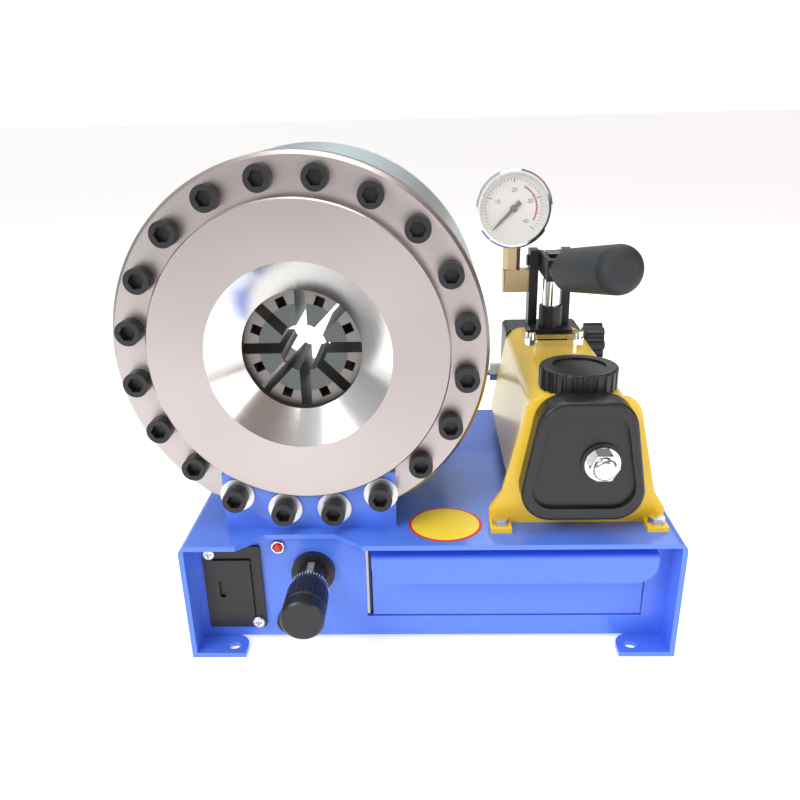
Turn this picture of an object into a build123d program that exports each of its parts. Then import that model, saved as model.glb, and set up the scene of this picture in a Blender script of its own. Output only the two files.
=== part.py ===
import os
from math import cos, radians, sin, tan

from build123d import *

# driving dimensions, mm
BASE_W = 380.0
BASE_D = 300.0
BASE_H = 100.0
SHEET = 4.0
PANEL_SETBACK = 25.0
FOOT_INSET_X = 32.0
FOOT_INSET_Y = 10.5
FOOT_HOLE_R = 4.75

HEAD_SIDE = 94.0
HEAD_R = 136.0
HEAD_GAP = 1.0
DISC_EDGE = 28.0
BOLT_EDGE = 15.0
BARREL_WALL = 24.0
MOUTH_R = 67.0
THROAT_R = 44.0
FLANGE_FRONT = 14.0
FLANGE_T = 18.0
STROKE = 27.0
CONE_DEG = 20.0
DIE_EDGE = 24.0
DIE_LEN = 74.0
SEAT_R = 33.0
JAW_R = 17.6
SLOT_SPARE = 0.239294780
PISTON_LEN = 81.0

PUMP_SIDE = 73.0
TANK_W = 106.0
TANK_TOP_W = 70.0
TANK_RISE = 101.0
BODY_W = 74.0
GAUGE_R = 34.0
PIVOT_RISE = 65.0
DRIVE_ARM = 22.0
MIC_Z = 65.0

FOOT_PITCH_X = BASE_W - 2 * FOOT_INSET_X
FOOT_PITCH_Y = BASE_D - 2 * FOOT_INSET_Y
FACE_Y = -BASE_D / 2 + PANEL_SETBACK
TOP_Z = BASE_H
TOP_UNDER = BASE_H - SHEET
WALL_IN = BASE_W / 2 - SHEET
HEAD_X = -WALL_IN + HEAD_SIDE
HEAD_Z = TOP_Z + HEAD_GAP + HEAD_R
DISC_R = HEAD_R - DISC_EDGE
BOLT_PCD_R = HEAD_R - BOLT_EDGE
BARREL_BORE_R = HEAD_R - BARREL_WALL
DIE_R = BARREL_BORE_R - DIE_EDGE
ROD_R = DIE_R - 22.0
ROD_BORE_R = DIE_R - 38.0
TAPER = tan(radians(CONE_DEG))
DIE_TRAVEL = STROKE * TAPER
SLOT_HALF = DIE_TRAVEL * sin(radians(22.5)) + SLOT_SPARE
FLANGE_BACK = FLANGE_FRONT + FLANGE_T
COVER_BACK = FLANGE_BACK - 4.0
DIE_Y0 = COVER_BACK + 0.3
PISTON_Y0 = COVER_BACK + STROKE + 2.0
PISTON_Y1 = PISTON_Y0 + PISTON_LEN
SEAL_Y0 = PISTON_Y0 + 53.0
SEAL_Y1 = SEAL_Y0 + 6.0
SEAL_R = BARREL_BORE_R - 4.0
CONE_END = PISTON_Y1 - 7.5
FLOOR_Y = PISTON_Y1 + 0.3
BARREL_BACK = FLOOR_Y + 17.7
ROD_END = BARREL_BACK + 16.0
PORT_R = BARREL_BORE_R - 8.0
PUMP_X = WALL_IN - PUMP_SIDE
TANK_TOP = TOP_Z + TANK_RISE
TANK_Y1 = BASE_D / 2 - 50.0
PIVOT_Y = TANK_Y1 - 8.0
PIVOT_Z = TANK_TOP + PIVOT_RISE
GAUGE_X = PUMP_X - 35.0
GAUGE_Y = PIVOT_Y - 12.0
GAUGE_Z = PIVOT_Z + GAUGE_R + 12.0
KNOB_Y = TANK_Y1 + 16.0
KNOB_Z = TANK_TOP - 19.0
OUTLET_Y = TANK_Y1 + 24.0
OUTLET_Z = TOP_Z + 50.0
HEAD_AXIS = Axis((HEAD_X, FACE_Y, HEAD_Z), (0, 1, 0))


def face_plane(x, y, z):
    return Plane(origin=(x, y, z), x_dir=(1, 0, 0), z_dir=(0, -1, 0))


def head_plane(depth):
    return face_plane(HEAD_X, FACE_Y + depth, HEAD_Z)


def depth_plane(x, y, z):
    return Plane(origin=(x, y, z), x_dir=(0, 1, 0), z_dir=(1, 0, 0))


HEAD_PROFILE = depth_plane(HEAD_X, FACE_Y, HEAD_Z)


def save(part, label):
    part.label = label
    export_step(part, "parts/" + label + ".step")


os.makedirs("parts", exist_ok=True)

# base: folded sheet channel with feet, open below
with BuildPart() as base_frame:
    with BuildSketch(face_plane(0, -BASE_D / 2, 0)):
        with BuildLine():
            Polyline((-BASE_W / 2, 0), (-BASE_W / 2, TOP_Z), (BASE_W / 2, TOP_Z),
                     (BASE_W / 2, 0), (WALL_IN, 0), (WALL_IN, TOP_UNDER),
                     (-WALL_IN, TOP_UNDER), (-WALL_IN, 0), close=True)
        make_face()
    extrude(amount=-BASE_D)
    outer_bends = base_frame.edges().filter_by(Axis.Y).group_by(Axis.Z)[-1]
    fillet(outer_bends, 7.0)
    for sx in (-1, 1):
        for sy in (-1, 1):
            with BuildSketch(Plane.XY):
                with Locations((sx * (WALL_IN - 19.5), sy * (BASE_D / 2 - 13))):
                    Rectangle(39, 26)
            extrude(amount=SHEET)
    toes = base_frame.edges().filter_by(Axis.Z).filter_by_position(
        Axis.X, -WALL_IN + 38, WALL_IN - 38)
    toes = toes.filter_by_position(Axis.Y, -BASE_D / 2 + 20, BASE_D / 2 - 20)
    fillet(toes, 14.0)
    with BuildSketch(Plane.XY):
        with GridLocations(FOOT_PITCH_X, FOOT_PITCH_Y, 2, 2):
            Circle(FOOT_HOLE_R)
    extrude(amount=SHEET, mode=Mode.SUBTRACT)
    with BuildSketch(Plane.XY.offset(TOP_UNDER)):
        with BuildLine():
            Polyline((HEAD_X - 54.5, -BASE_D / 2), (HEAD_X - 35.0, -BASE_D / 2 + 19),
                     (HEAD_X + 18.5, -BASE_D / 2 + 19), (HEAD_X + 41.5, -BASE_D / 2), close=True)
        make_face()
    extrude(amount=SHEET, mode=Mode.SUBTRACT)
save(base_frame.part, "base_frame")

# front panel with its openings
DRAWER_X0 = HEAD_X + 41.0
DRAWER_X1 = WALL_IN - 18.0
DRAWER_Z0 = 22.0
DRAWER_Z1 = TOP_UNDER - 8.0
BOX_W = 46.0
BOX_H = TOP_UNDER - 22.0
BOX_X = -WALL_IN + 30.0
BOX_Z = BOX_H / 2 + 14.0
SCREW_DX = BOX_W / 2 - 6.0
SCREW_DZ = BOX_H / 2 - 5.5
LED_X = HEAD_X - 26.6
LED_Z = TOP_UNDER - 9.3
BUTTON_X = HEAD_X - 22.0
BUTTON_Z = 18.0
with BuildPart() as front_panel:
    with BuildSketch(face_plane(0, FACE_Y, 0)):
        with Locations((0, (SHEET + TOP_UNDER) / 2)):
            Rectangle(2 * WALL_IN, TOP_UNDER - SHEET)
        with Locations(((DRAWER_X0 + DRAWER_X1) / 2, (DRAWER_Z0 + DRAWER_Z1) / 2)):
            Rectangle(DRAWER_X1 - DRAWER_X0, DRAWER_Z1 - DRAWER_Z0, mode=Mode.SUBTRACT)
        with Locations((BOX_X, BOX_Z)):
            Rectangle(BOX_W - 11.6, BOX_H - 17.6, mode=Mode.SUBTRACT)
        with Locations((LED_X, LED_Z)):
            Circle(4.05, mode=Mode.SUBTRACT)
        with Locations((BUTTON_X, BUTTON_Z)):
            Circle(9.05, mode=Mode.SUBTRACT)
        with Locations((HEAD_X, MIC_Z)):
            Circle(8.05, mode=Mode.SUBTRACT)
        with Locations((BOX_X - SCREW_DX, BOX_Z + SCREW_DZ), (BOX_X + SCREW_DX, BOX_Z - SCREW_DZ)):
            Circle(2.0, mode=Mode.SUBTRACT)
    extrude(amount=-SHEET)
save(front_panel.part, "front_panel")

with BuildPart() as rear_panel:
    with BuildSketch(face_plane(0, BASE_D / 2 - PANEL_SETBACK - SHEET, 0)):
        with Locations((0, (SHEET + TOP_UNDER) / 2)):
            Rectangle(2 * WALL_IN, TOP_UNDER - SHEET)
        with Locations((HEAD_X - 28.0, 50)):
            with GridLocations(14, 10, 6, 1):
                SlotOverall(44, 5, rotation=90, mode=Mode.SUBTRACT)
    extrude(amount=-SHEET)
save(rear_panel.part, "rear_panel")

# drawer runners hung from the top plate
with BuildPart() as drawer_rails:
    for side, inner in ((1, DRAWER_X0 + 2.0), (-1, DRAWER_X1 - 2.0)):
        with BuildSketch(face_plane(0, FACE_Y + SHEET, 0)):
            with BuildLine():
                Polyline((inner, TOP_UNDER), (inner, DRAWER_Z0 - 1), (inner + side * 14, DRAWER_Z0 - 1),
                         (inner + side * 14, DRAWER_Z0 + 1), (inner + side * 2, DRAWER_Z0 + 1),
                         (inner + side * 2, TOP_UNDER), close=True)
            make_face()
        extrude(amount=-(BASE_D - 2 * PANEL_SETBACK - 2 * SHEET))
save(drawer_rails.part, "drawer_rails")

# drawer: sheet tray and folded front
TRAY_X0 = DRAWER_X0 + 5.0
TRAY_X1 = DRAWER_X1 - 5.0
TRAY_H = DRAWER_Z1 - DRAWER_Z0 - 8.0
TRAY_Z = DRAWER_Z0 + 1.3 + TRAY_H / 2
TRAY_D = BASE_D - 2 * PANEL_SETBACK - 22.0
with BuildPart() as drawer_tray:
    with BuildSketch(face_plane((TRAY_X0 + TRAY_X1) / 2, FACE_Y + 3.0, TRAY_Z)):
        Rectangle(TRAY_X1 - TRAY_X0, TRAY_H)
    extrude(amount=-TRAY_D)
    with BuildSketch(face_plane((TRAY_X0 + TRAY_X1) / 2, FACE_Y + 5.0, TRAY_Z + 2.0)):
        Rectangle(TRAY_X1 - TRAY_X0 - 4.0, TRAY_H)
    extrude(amount=-(TRAY_D - 4.0), mode=Mode.SUBTRACT)
save(drawer_tray.part, "drawer_tray")

LIP_OUT = 18.0
FRONT_X = (DRAWER_X0 + DRAWER_X1) / 2 + 2.0
FRONT_W = DRAWER_X1 - DRAWER_X0 - 6.0
LIP_X = FRONT_X + 3.0
LIP_W = FRONT_W + 4.0
LIP_H = 24.0
with BuildPart() as drawer_front:
    with BuildSketch(face_plane(FRONT_X, FACE_Y, (DRAWER_Z0 + DRAWER_Z1) / 2)):
        Rectangle(FRONT_W, DRAWER_Z1 - DRAWER_Z0 - 3.0)
    extrude(amount=-3.0)
    with BuildSketch(face_plane(LIP_X, FACE_Y, DRAWER_Z1 - 3.5)):
        Rectangle(LIP_W, 4.0)
    extrude(amount=LIP_OUT)
    with BuildSketch(face_plane(LIP_X, FACE_Y - LIP_OUT + 3.0, DRAWER_Z1 - 1.5 - LIP_H / 2)):
        Rectangle(LIP_W, LIP_H)
    extrude(amount=3.0)
    lip_ends = drawer_front.edges().filter_by(Axis.Y).filter_by_position(
        Axis.Z, DRAWER_Z1 - LIP_H - 2.0, DRAWER_Z1 - LIP_H - 1.0)
    fillet(lip_ends, 16.0)
    lip_bend = drawer_front.edges().filter_by(Axis.X).sort_by(
        lambda e: e.center().Z - e.center().Y)[-1]
    fillet(lip_bend, 2.6)
save(drawer_front.part, "drawer_front")

# crimping head: front cover, turned about the head axis
with BuildPart() as front_cover:
    with BuildSketch(HEAD_PROFILE):
        with BuildLine():
            Polyline((0, MOUTH_R), (0, DISC_R - 1.0), (1.0, DISC_R), (FLANGE_FRONT, DISC_R),
                     (FLANGE_FRONT, HEAD_R - 2.5), (FLANGE_FRONT + 2.5, HEAD_R),
                     (FLANGE_BACK, HEAD_R), (FLANGE_BACK, BARREL_BORE_R - 0.5),
                     (FLANGE_BACK + 4.0, BARREL_BORE_R - 0.5),
                     (FLANGE_BACK + 4.0, BARREL_BORE_R - 12.0), (COVER_BACK, BARREL_BORE_R - 12.0),
                     (COVER_BACK, THROAT_R), (COVER_BACK - 8.0, THROAT_R), close=True)
        make_face()
    revolve(axis=HEAD_AXIS)
    with BuildSketch(head_plane(FLANGE_FRONT)):
        with PolarLocations(BOLT_PCD_R, 20, start_angle=9.0):
            Circle(6.4)
    extrude(amount=-(FLANGE_BACK - FLANGE_FRONT), mode=Mode.SUBTRACT)
save(front_cover.part, "front_cover")

with BuildPart() as barrel:
    with BuildSketch(HEAD_PROFILE):
        with BuildLine():
            Polyline((FLANGE_BACK, BARREL_BORE_R), (FLANGE_BACK, HEAD_R),
                     (BARREL_BACK - 2.5, HEAD_R), (BARREL_BACK, HEAD_R - 2.5),
                     (BARREL_BACK, ROD_R + 0.05), (FLOOR_Y, ROD_R + 0.05),
                     (FLOOR_Y, BARREL_BORE_R), close=True)
        make_face()
    revolve(axis=HEAD_AXIS)
    with BuildSketch(head_plane(FLANGE_BACK)):
        with PolarLocations(BOLT_PCD_R, 20, start_angle=9.0):
            Circle(6.0)
    extrude(amount=-22.0, mode=Mode.SUBTRACT)
    with BuildSketch(head_plane(BARREL_BACK)):
        with PolarLocations(BOLT_PCD_R, 20, start_angle=9.0):
            Circle(6.0)
    extrude(amount=14.0, mode=Mode.SUBTRACT)
    with BuildSketch(head_plane(BARREL_BACK)):
        with Locations((PORT_R, 0)):
            Circle(5.0)
    extrude(amount=BARREL_BACK - FLOOR_Y, mode=Mode.SUBTRACT)
save(barrel.part, "barrel")


# socket-head screws on the bolt circle
def bolt_angles(low):
    angles = [9.0 + 18.0 * k for k in range(20)]
    if low:
        return [a for a in angles if 240.0 < a < 300.0]
    return [a for a in angles if not 240.0 < a < 300.0]


def bolt_spots(low):
    return [(BOLT_PCD_R * cos(radians(a)), BOLT_PCD_R * sin(radians(a)))
            for a in bolt_angles(low)]


HEAD_H = 12.0
with BuildPart() as cover_bolts:
    with BuildSketch(head_plane(FLANGE_FRONT)):
        with Locations(*bolt_spots(False)):
            Circle(9.0)
    extrude(amount=HEAD_H)
    with BuildSketch(head_plane(FLANGE_FRONT)):
        with Locations(*bolt_spots(False)):
            Circle(5.9)
    extrude(amount=-38.0)
    with BuildSketch(head_plane(FLANGE_FRONT - HEAD_H)):
        with Locations(*bolt_spots(False)):
            RegularPolygon(5.77, 6)
    extrude(amount=-6.5, mode=Mode.SUBTRACT)
save(cover_bolts.part, "cover_bolts")

PLATE_Y0 = 6.0
WASHER_T = 2.5
with BuildPart() as bracket_bolts:
    with BuildSketch(head_plane(PLATE_Y0 - WASHER_T)):
        with Locations(*bolt_spots(True)):
            Circle(9.0)
    extrude(amount=HEAD_H)
    with BuildSketch(head_plane(PLATE_Y0 - WASHER_T)):
        with Locations(*bolt_spots(True)):
            Circle(5.9)
    extrude(amount=-48.0)
    with BuildSketch(head_plane(PLATE_Y0 - WASHER_T - HEAD_H)):
        with Locations(*bolt_spots(True)):
            RegularPolygon(5.77, 6)
    extrude(amount=-6.5, mode=Mode.SUBTRACT)
save(bracket_bolts.part, "bracket_bolts")

with BuildPart() as bracket_washers:
    with BuildSketch(head_plane(PLATE_Y0)):
        with Locations(*bolt_spots(True)):
            Circle(13.0)
            Circle(6.2, mode=Mode.SUBTRACT)
    extrude(amount=WASHER_T)
save(bracket_washers.part, "bracket_washers")

BRACKET_W = BOLT_PCD_R * 12 / 11
BRACKET_TOP = TOP_Z + 46.0
with BuildPart() as head_bracket:
    with BuildSketch(face_plane(HEAD_X, FACE_Y + PLATE_Y0, 0)):
        with Locations((0, (TOP_Z + BRACKET_TOP) / 2)):
            Rectangle(BRACKET_W, BRACKET_TOP - TOP_Z)
        with Locations((0, HEAD_Z)):
            Circle(DISC_R + 0.5, mode=Mode.SUBTRACT)
    extrude(amount=-(FLANGE_FRONT - PLATE_Y0))
    with BuildSketch(head_plane(PLATE_Y0)):
        with Locations(*bolt_spots(True)):
            Circle(6.4)
    extrude(amount=-(FLANGE_FRONT - PLATE_Y0), mode=Mode.SUBTRACT)
save(head_bracket.part, "head_bracket")

with BuildPart() as rear_bracket:
    with BuildSketch(face_plane(HEAD_X, FACE_Y + BARREL_BACK, 0)):
        with Locations((0, TOP_Z + 20.0)):
            Rectangle(BRACKET_W, 40.0)
    extrude(amount=-8.0)
    with BuildSketch(head_plane(BARREL_BACK)):
        with Locations(*bolt_spots(True)):
            Circle(6.4)
    extrude(amount=-8.0, mode=Mode.SUBTRACT)
save(rear_bracket.part, "rear_bracket")

with BuildPart() as rear_bolts:
    with BuildSketch(head_plane(BARREL_BACK + 8.0)):
        with Locations(*bolt_spots(True)):
            Circle(9.0)
    extrude(amount=-HEAD_H)
    with BuildSketch(head_plane(BARREL_BACK + 8.0)):
        with Locations(*bolt_spots(True)):
            Circle(5.9)
    extrude(amount=20.0)
save(rear_bolts.part, "rear_bolts")

# annular piston with the cone that drives the dies


def cone_r(depth, gap):
    return DIE_R + gap - (depth - DIE_Y0) * TAPER


with BuildPart() as piston:
    with BuildSketch(HEAD_PROFILE):
        with BuildLine():
            Polyline((PISTON_Y0, cone_r(PISTON_Y0, 0.1)), (PISTON_Y0, BARREL_BORE_R - 14.0),
                     (PISTON_Y0 + 7.0, BARREL_BORE_R - 14.0), (PISTON_Y0 + 7.0, BARREL_BORE_R - 0.05),
                     (SEAL_Y0, BARREL_BORE_R - 0.05), (SEAL_Y0, SEAL_R), (SEAL_Y1, SEAL_R),
                     (SEAL_Y1, BARREL_BORE_R - 0.05), (PISTON_Y1, BARREL_BORE_R - 0.05),
                     (PISTON_Y1, ROD_R), (ROD_END, ROD_R), (ROD_END, ROD_BORE_R),
                     (CONE_END, ROD_BORE_R), (CONE_END, cone_r(CONE_END, 0.1)), close=True)
        make_face()
    revolve(axis=HEAD_AXIS)
save(piston.part, "piston")

with BuildPart() as piston_seal:
    with BuildSketch(HEAD_PROFILE):
        with BuildLine():
            Polyline((SEAL_Y0, SEAL_R), (SEAL_Y0, BARREL_BORE_R - 0.05),
                     (SEAL_Y1, BARREL_BORE_R - 0.05), (SEAL_Y1, SEAL_R), close=True)
        make_face()
    revolve(axis=HEAD_AXIS)
save(piston_seal.part, "piston_seal")

# eight master dies and eight jaws, one per sector
DIE_Y1 = DIE_Y0 + DIE_LEN
for k in range(8):
    turn = 45.0 * k + 22.5
    ax = cos(radians(turn))
    az = sin(radians(turn))
    shifted = Axis((HEAD_X + DIE_TRAVEL * ax, FACE_Y, HEAD_Z + DIE_TRAVEL * az), (0, 1, 0))
    shift_profile = depth_plane(HEAD_X + DIE_TRAVEL * ax, FACE_Y, HEAD_Z + DIE_TRAVEL * az)
    # the wedge between the two slots, kept as a sector sketch
    half = radians(22.5)
    tip = SLOT_HALF / sin(half)
    far = DIE_R + 22.0
    side = (tip + far * cos(half), far * sin(half))
    sector = Plane(origin=(HEAD_X, FACE_Y + DIE_Y0, HEAD_Z),
                   x_dir=(ax, 0, az), z_dir=(0, -1, 0))
    with BuildPart() as master_die:
        with BuildSketch(shift_profile):
            with BuildLine():
                Polyline((DIE_Y0, 0), (DIE_Y0, cone_r(DIE_Y0, -DIE_TRAVEL)),
                         (DIE_Y1, cone_r(DIE_Y1, -DIE_TRAVEL)), (DIE_Y1, 0), close=True)
            make_face()
        revolve(axis=shifted)
        with BuildSketch(sector):
            with BuildLine():
                Polyline((tip, 0), side, (side[0], -side[1]), close=True)
            make_face()
        extrude(amount=-DIE_LEN, mode=Mode.INTERSECT)
        with BuildSketch(sector):
            Circle(SEAT_R)
            with Locations((SEAT_R + 2.0, 0)):
                Rectangle(10.0, 7.0)
        extrude(amount=-DIE_LEN, mode=Mode.SUBTRACT)
    save(master_die.part, "master_die_" + str(k + 1))
    with BuildPart() as crimp_die:
        with BuildSketch(sector):
            Circle(SEAT_R - 0.05)
        extrude(amount=-DIE_LEN)
        with BuildSketch(sector):
            with BuildLine():
                Polyline((tip, 0), side, (side[0], -side[1]), close=True)
            make_face()
        extrude(amount=-DIE_LEN, mode=Mode.INTERSECT)
        with BuildSketch(sector):
            with Locations((DIE_TRAVEL, 0)):
                Circle(JAW_R - DIE_TRAVEL)
        extrude(amount=-DIE_LEN, mode=Mode.SUBTRACT)
    save(crimp_die.part, "crimp_die_" + str(k + 1))

# die-size micrometer, axis parallel to the head axis
MIC_END = 72.0
with BuildPart() as mic_sleeve:
    with BuildSketch(depth_plane(HEAD_X, FACE_Y, MIC_Z)):
        with BuildLine():
            Polyline((-38.0, 4.2), (-38.0, 11.5), (-6.0, 11.5), (-6.0, 17.0), (0, 17.0),
                     (0, 8.0), (12.0, 8.0), (12.0, 4.2), close=True)
        make_face()
    revolve(axis=Axis((HEAD_X, FACE_Y, MIC_Z), (0, 1, 0)))
    with BuildSketch(face_plane(HEAD_X, FACE_Y + 4.0, MIC_Z)):
        RegularPolygon(13.0, 6)
        Circle(8.0, mode=Mode.SUBTRACT)
    extrude(amount=-6.0)
save(mic_sleeve.part, "mic_sleeve")

with BuildPart() as mic_thimble:
    with BuildSketch(depth_plane(HEAD_X, FACE_Y, MIC_Z)):
        with BuildLine():
            Polyline((-MIC_END, 0), (-MIC_END, 14.5), (-MIC_END + 1.5, 16.0),
                     (-MIC_END + 9.0, 16.0), (-MIC_END + 10.0, 15.2),
                     (-MIC_END + 14.0, 15.2), (-MIC_END + 15.0, 16.0),
                     (-36.0, 15.6), (-26.0, 13.6), (-26.0, 11.8), (-40.0, 11.8),
                     (-40.0, 4.1), (62.0, 4.1), (64.0, 2.5), (64.0, 0), close=True)
        make_face()
    revolve(axis=Axis((HEAD_X, FACE_Y, MIC_Z), (0, 1, 0)))
    with BuildSketch(face_plane(HEAD_X, FACE_Y - MIC_END + 16.0, MIC_Z)):
        with PolarLocations(16.2, 24):
            Circle(0.9)
    extrude(amount=-18.0, mode=Mode.SUBTRACT)
save(mic_thimble.part, "mic_thimble")

with BuildPart() as limit_switch:
    with BuildSketch(face_plane(HEAD_X, FACE_Y + 68.0, MIC_Z)):
        Rectangle(20.0, 28.0)
    extrude(amount=-22.0)
    with BuildSketch(face_plane(HEAD_X, FACE_Y + 66.0, MIC_Z)):
        Circle(3.0)
    extrude(amount=-2.0)
    with BuildSketch(face_plane(HEAD_X, FACE_Y + 87.0, (MIC_Z + TOP_UNDER) / 2)):
        Rectangle(20.0, TOP_UNDER - MIC_Z)
    extrude(amount=-3.0)
save(limit_switch.part, "limit_switch")

# battery compartment with its pull-out holder
with BuildPart() as battery_box:
    with BuildSketch(face_plane(BOX_X, FACE_Y, BOX_Z)):
        Rectangle(BOX_W, BOX_H)
        with Locations((-SCREW_DX, SCREW_DZ), (SCREW_DX, -SCREW_DZ)):
            Circle(2.0, mode=Mode.SUBTRACT)
    extrude(amount=3.0)
    fillet(battery_box.edges().filter_by(Axis.Y).filter_by_position(
        Axis.Z, BOX_Z - BOX_H, BOX_Z + BOX_H).group_by(SortBy.LENGTH)[-1], 2.5)
    with BuildSketch(face_plane(BOX_X, FACE_Y, BOX_Z)):
        Rectangle(BOX_W - 12.0, BOX_H - 18.0)
    extrude(amount=-58.0)
    with BuildSketch(face_plane(BOX_X, FACE_Y - 3.0, BOX_Z)):
        Rectangle(BOX_W - 16.0, BOX_H - 22.0)
    extrude(amount=-59.0, mode=Mode.SUBTRACT)
save(battery_box.part, "battery_box")

with BuildPart() as battery_tray:
    with BuildSketch(face_plane(BOX_X, FACE_Y - 5.0, BOX_Z)):
        Rectangle(BOX_W - 16.6, BOX_H - 22.6)
    extrude(amount=-59.0)
    with BuildSketch(depth_plane(BOX_X - BOX_W / 2 + 10.3, FACE_Y, BOX_Z)):
        with Locations((25.5, 0)):
            Rectangle(53.0, BOX_H - 26.6)
    extrude(amount=28.0, mode=Mode.SUBTRACT)
    with BuildSketch(face_plane(BOX_X - 9.0, FACE_Y - 5.0, BOX_Z)):
        SlotOverall(16.0, 5.0, rotation=90)
    extrude(amount=-2.5, mode=Mode.SUBTRACT)
save(battery_tray.part, "battery_tray")

with BuildPart() as panel_screws:
    with BuildSketch(face_plane(BOX_X, FACE_Y - 3.0, BOX_Z)):
        with Locations((-SCREW_DX, SCREW_DZ), (SCREW_DX, -SCREW_DZ)):
            Circle(5.0)
    extrude(amount=3.0)
    fillet(panel_screws.faces().sort_by(Axis.Y)[:2].edges(), 1.6)
    with BuildSketch(face_plane(BOX_X, FACE_Y - 3.0, BOX_Z)):
        with Locations((-SCREW_DX, SCREW_DZ), (SCREW_DX, -SCREW_DZ)):
            Circle(1.9)
    extrude(amount=-11.0)
    with BuildSketch(face_plane(BOX_X, FACE_Y - 6.0, BOX_Z)):
        with Locations((-SCREW_DX, SCREW_DZ), (SCREW_DX, -SCREW_DZ)):
            Rectangle(5.4, 1.1)
            Rectangle(1.1, 5.4)
    extrude(amount=-1.6, mode=Mode.SUBTRACT)
save(panel_screws.part, "panel_screws")

with BuildPart() as led_lamp:
    with BuildSketch(face_plane(LED_X, FACE_Y, LED_Z)):
        Circle(5.2)
    extrude(amount=1.6)
    with BuildSketch(face_plane(LED_X, FACE_Y - 1.6, LED_Z)):
        Circle(3.2)
    extrude(amount=2.4)
    fillet(led_lamp.faces().sort_by(Axis.Y)[0].edges(), 1.8)
    with BuildSketch(face_plane(LED_X, FACE_Y, LED_Z)):
        Circle(4.0)
    extrude(amount=-14.0)
save(led_lamp.part, "led_lamp")

with BuildPart() as button_bezel:
    with BuildSketch(face_plane(BUTTON_X, FACE_Y, BUTTON_Z)):
        Circle(10.5)
        Circle(7.0, mode=Mode.SUBTRACT)
    extrude(amount=3.5)
    with BuildSketch(face_plane(BUTTON_X, FACE_Y, BUTTON_Z)):
        Circle(9.0)
        Circle(7.0, mode=Mode.SUBTRACT)
    extrude(amount=-18.0)
save(button_bezel.part, "button_bezel")

with BuildPart() as push_button:
    with BuildSketch(face_plane(BUTTON_X, FACE_Y - 7.0, BUTTON_Z)):
        Circle(6.92)
    extrude(amount=-20.0)
    fillet(push_button.faces().sort_by(Axis.Y)[0].edges(), 1.2)
save(push_button.part, "push_button")

# hand pump: oil tank on a bracket, closed by an end cap and a tie bolt
TANK_Y0 = FACE_Y + 16.0
TANK_Z0 = TOP_Z + 6.0


def trapezoid(low_w, top_w, z0, z1):
    return [(-low_w / 2, z0), (-top_w / 2, z1), (top_w / 2, z1), (low_w / 2, z0)]


TANK_SHAPE = trapezoid(TANK_W, TANK_TOP_W, TANK_Z0, TANK_TOP)
FILLER_Y = TANK_Y0 + 26.0
TIE_X = PUMP_X + 12.0
TIE_Z = TOP_Z + 58.0
with BuildPart() as tank_shell:
    with BuildSketch(face_plane(PUMP_X, TANK_Y0, 0)):
        with BuildLine():
            Polyline(*TANK_SHAPE, close=True)
        make_face()
    extrude(amount=-(TANK_Y1 - TANK_Y0))
    fillet(tank_shell.edges().filter_by(Axis.Y), 16.0)
    with BuildSketch(face_plane(PUMP_X, TANK_Y0, 0)):
        with BuildLine():
            Polyline(*trapezoid(TANK_W - 8.0, TANK_TOP_W - 6.0, TANK_Z0 + 4.0, TANK_TOP - 4.0), close=True)
        make_face()
        fillet(vertices(), 12.0)
    extrude(amount=-(TANK_Y1 - TANK_Y0 - 5.0), mode=Mode.SUBTRACT)
    with BuildSketch(Plane.XY.offset(TANK_TOP)):
        with Locations((PUMP_X, FILLER_Y)):
            Circle(15.0)
    extrude(amount=-6.0, mode=Mode.SUBTRACT)
save(tank_shell.part, "tank_shell")

SOLE = TANK_W / 2 + 14.0
NECK = TANK_TOP_W / 2 + 5.0
with BuildPart() as pump_bracket:
    with BuildSketch(face_plane(PUMP_X, TANK_Y0 - 4.5, 0)):
        with BuildLine():
            Polyline((-SOLE, TOP_Z), (-SOLE, TOP_Z + 12), (9 - SOLE, TOP_Z + 26), (-NECK, TANK_TOP),
                     (NECK, TANK_TOP), (SOLE - 9, TOP_Z + 26), (SOLE, TOP_Z + 12), (SOLE, TOP_Z),
                     close=True)
        make_face()
        with Locations((TIE_X - PUMP_X, TIE_Z)):
            Circle(5.3, mode=Mode.SUBTRACT)
    extrude(amount=-4.5)
    shoulders = pump_bracket.edges().filter_by(Axis.Y).filter_by_position(
        Axis.Z, TANK_TOP - 2, TANK_TOP + 2)
    fillet(shoulders, 14.0)
    for sx in (-1, 1):
        with BuildSketch(Plane.XY.offset(TOP_Z)):
            with Locations((PUMP_X + sx * (SOLE - 8.0), TANK_Y0 - 13.5)):
                Rectangle(16.0, 18.0)
        extrude(amount=SHEET)
        with BuildSketch(Plane.XY.offset(TOP_Z)):
            with Locations((PUMP_X + sx * (SOLE - 8.0), TANK_Y0 - 14.0)):
                SlotOverall(10.0, 6.4, rotation=90)
        extrude(amount=SHEET, mode=Mode.SUBTRACT)
save(pump_bracket.part, "pump_bracket")

with BuildPart() as pump_bolts:
    for sx in (-1, 1):
        with BuildSketch(Plane.XY.offset(TOP_Z + SHEET)):
            with Locations((PUMP_X + sx * (SOLE - 8.0), TANK_Y0 - 14.0)):
                RegularPolygon(6.6, 6)
        extrude(amount=5.0)
        with BuildSketch(Plane.XY.offset(TOP_Z)):
            with Locations((PUMP_X + sx * (SOLE - 8.0), TANK_Y0 - 14.0)):
                Circle(3.0)
        extrude(amount=SHEET)
save(pump_bolts.part, "pump_bolts")

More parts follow.
